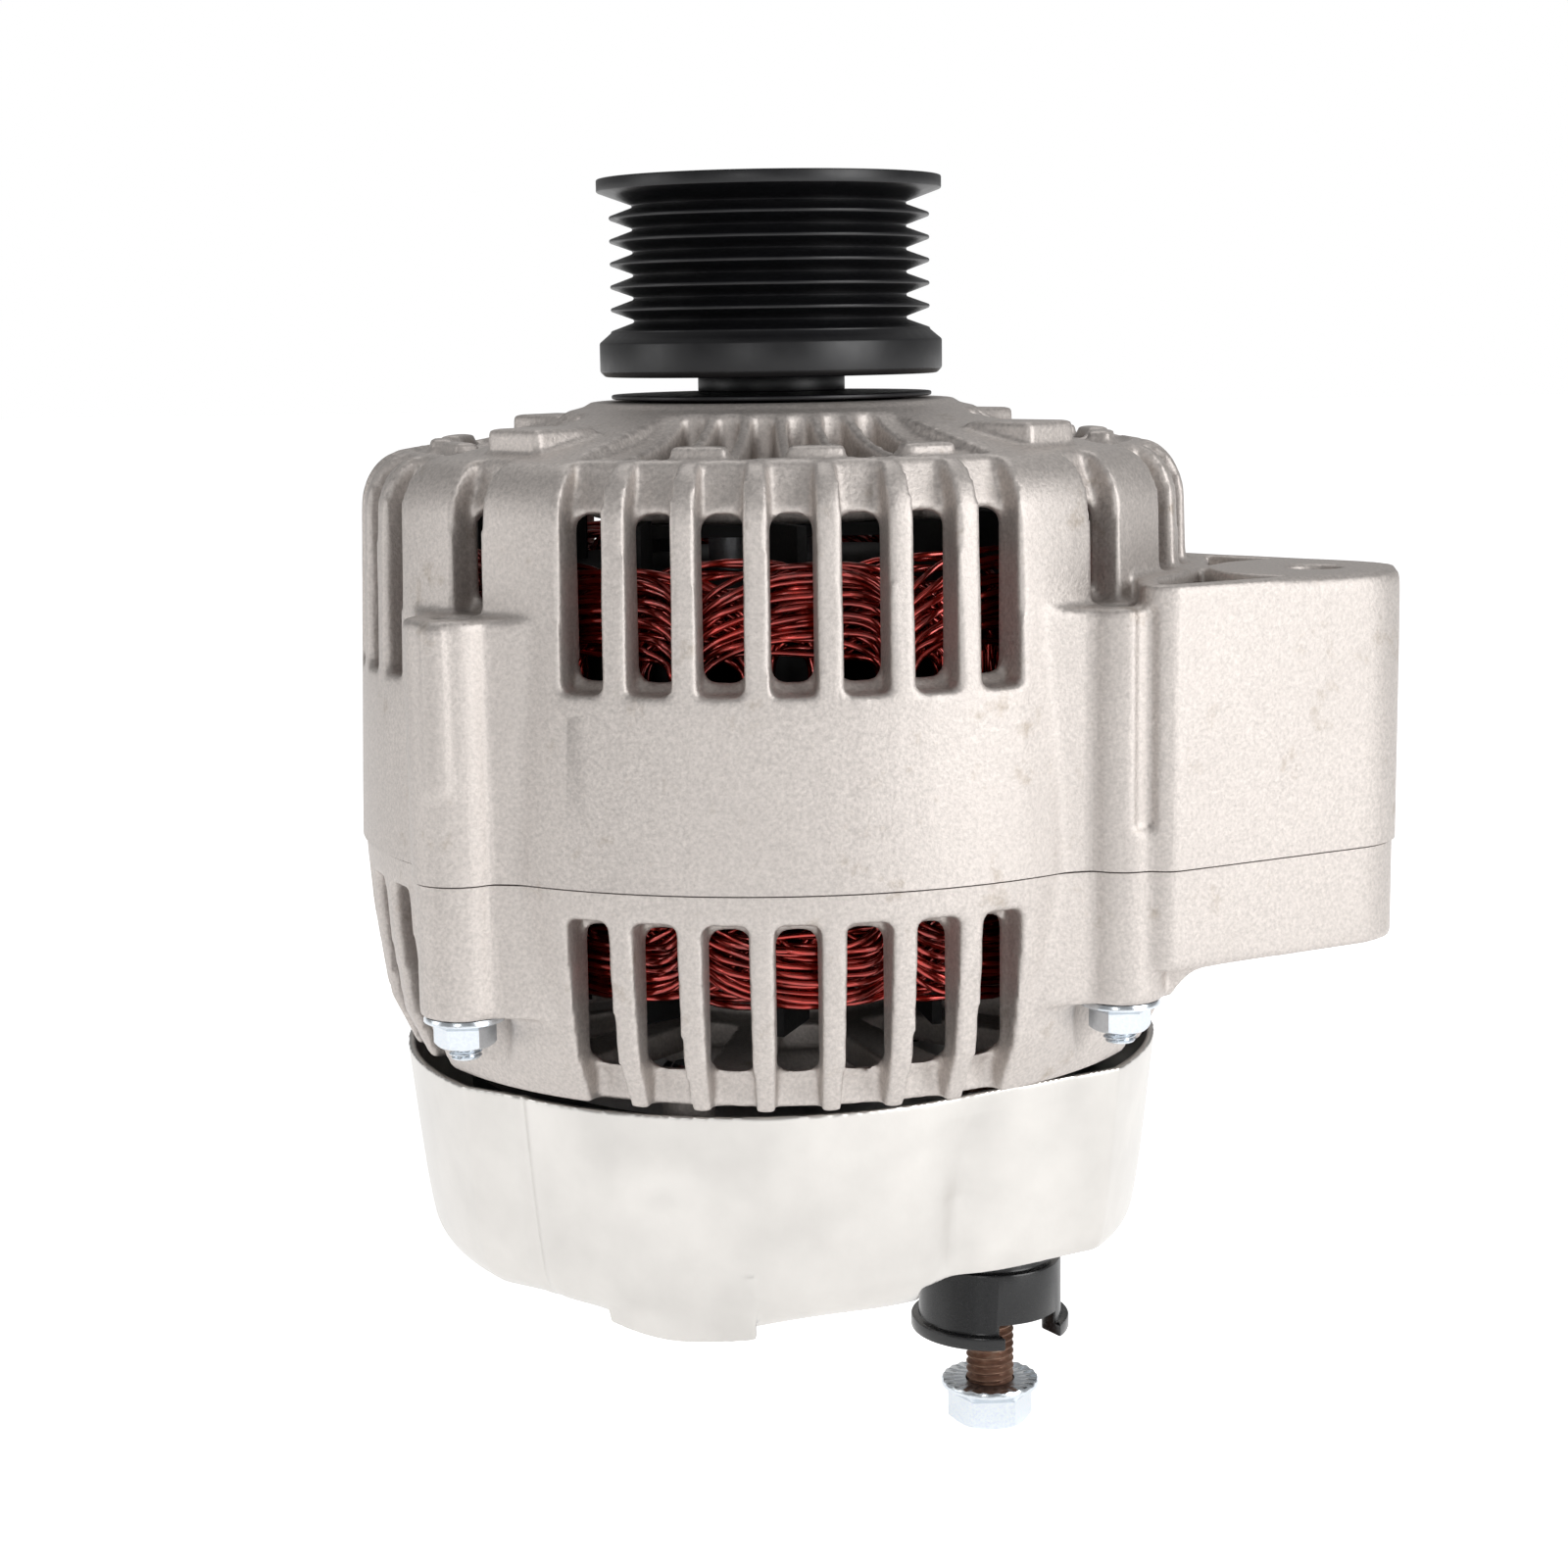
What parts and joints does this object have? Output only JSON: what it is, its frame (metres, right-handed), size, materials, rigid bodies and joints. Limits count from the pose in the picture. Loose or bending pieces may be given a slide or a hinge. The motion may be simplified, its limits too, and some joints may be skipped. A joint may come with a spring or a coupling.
{
  "type": "alternator",
  "caption": "Belt-driven vehicle alternator with claw-pole rotor, slotted cast end frames, pressed rear cover and one side output terminal.",
  "frame": {"origin": "on the rotor axis, in the middle plane of the six belt grooves", "axes": "+Z along the shaft towards the pulley; -Y faces the picture's viewer; +X towards the pivot lug"},
  "size_m": [0.1613, 0.1554, 0.2015],
  "materials": {
    "cast_aluminium": "sand-cast, shot-blasted",
    "sheet_aluminium": "pressed sheet, satin",
    "black_painted_steel": "gloss black paint",
    "zinc_plated_steel": "bright zinc plate",
    "machined_steel": "turned and ground",
    "bearing_steel": "ground and polished",
    "laminated_steel": "varnished laminations",
    "forged_steel": "forged, machined outside",
    "red_enamelled_copper": "enamelled wire, varnished",
    "copper": "turned",
    "carbon": "pressed carbon",
    "black_plastic": "glass-filled moulding",
    "seal_rubber": "moulded rubber",
    "nylon": "moulded nylon",
    "plain_aluminium": "pressed and stamped"
  },
  "bodies": {
    "housing": {"bearing_retainer": "zinc_plated_steel", "brush_holder": "black_plastic", "brush_holder_screws": "zinc_plated_steel", "brush_spring_inner": "machined_steel", "brush_spring_outer": "machined_steel", "cover_nuts": "zinc_plated_steel", "cover_studs": "zinc_plated_steel", "drive_end_frame": "cast_aluminium", "front_bearing_outer_race": "bearing_steel", "front_bearing_seals": "seal_rubber", "output_insulator": "black_plastic", "output_nut": "zinc_plated_steel", "output_stud": "zinc_plated_steel", "rear_bearing_outer_race": "bearing_steel", "rear_bearing_seals": "seal_rubber", "rear_cover": "sheet_aluminium", "rear_end_frame": "cast_aluminium", "rectifier_diodes": "plain_aluminium", "rectifier_plate": "plain_aluminium", "rectifier_spacer": "black_plastic", "rectifier_terminal_block": "black_plastic", "regulator": "black_plastic", "regulator_screw": "zinc_plated_steel", "retainer_screws": "zinc_plated_steel", "stator_core": "laminated_steel", "stator_winding": "red_enamelled_copper", "stud_nuts": "zinc_plated_steel", "through_studs": "zinc_plated_steel"},
    "rotor": {"pulley": "black_painted_steel", "rotor_shaft": "machined_steel", "pulley_nut": "zinc_plated_steel", "shaft_collar": "black_painted_steel", "dust_slinger": "black_painted_steel", "claw_pole_front": "forged_steel", "claw_pole_rear": "forged_steel", "rotor_core": "forged_steel", "field_bobbin": "black_plastic", "field_coil": "red_enamelled_copper", "front_fan": "black_painted_steel", "rear_fan": "black_painted_steel", "slip_ring_carrier": "black_plastic", "slip_ring_inner": "copper", "slip_ring_outer": "copper", "front_bearing_inner_race": "bearing_steel", "rear_bearing_inner_race": "bearing_steel"},
    "front_ball_set": {"front_bearing_balls": "bearing_steel", "front_bearing_cage": "nylon"},
    "rear_ball_set": {"rear_bearing_balls": "bearing_steel", "rear_bearing_cage": "nylon"},
    "brush_a": {"brush_inner": "carbon"},
    "brush_b": {"brush_outer": "carbon"}
  },
  "joints": [
    {"name": "rotor_spin", "type": "hinge", "parent": "housing", "child": "rotor", "pos_m": [0, 0, 0], "axis": [0, 0, 1], "continuous": true},
    {"name": "front_cage_spin", "type": "hinge", "parent": "housing", "child": "front_ball_set", "pos_m": [0, 0, 0], "axis": [0, 0, 1], "continuous": true},
    {"name": "rear_cage_spin", "type": "hinge", "parent": "housing", "child": "rear_ball_set", "pos_m": [0, 0, 0], "axis": [0, 0, 1], "continuous": true},
    {"name": "inner_brush_slide", "type": "slide", "parent": "housing", "child": "brush_a", "axis": [0, 1, 0], "range_m": [0, 0.0035], "stiffness_N_per_m": 300, "springref_m": -0.006, "deforming": ["brush_spring_inner"]},
    {"name": "outer_brush_slide", "type": "slide", "parent": "housing", "child": "brush_b", "axis": [0, 1, 0], "range_m": [0, 0.0035], "stiffness_N_per_m": 300, "springref_m": -0.006, "deforming": ["brush_spring_outer"]}
  ],
  "couplings": [
    {"joint": "front_cage_spin", "follows": "rotor_spin", "ratio": 0.3641},
    {"joint": "rear_cage_spin", "follows": "rotor_spin", "ratio": 0.381}
  ]
}
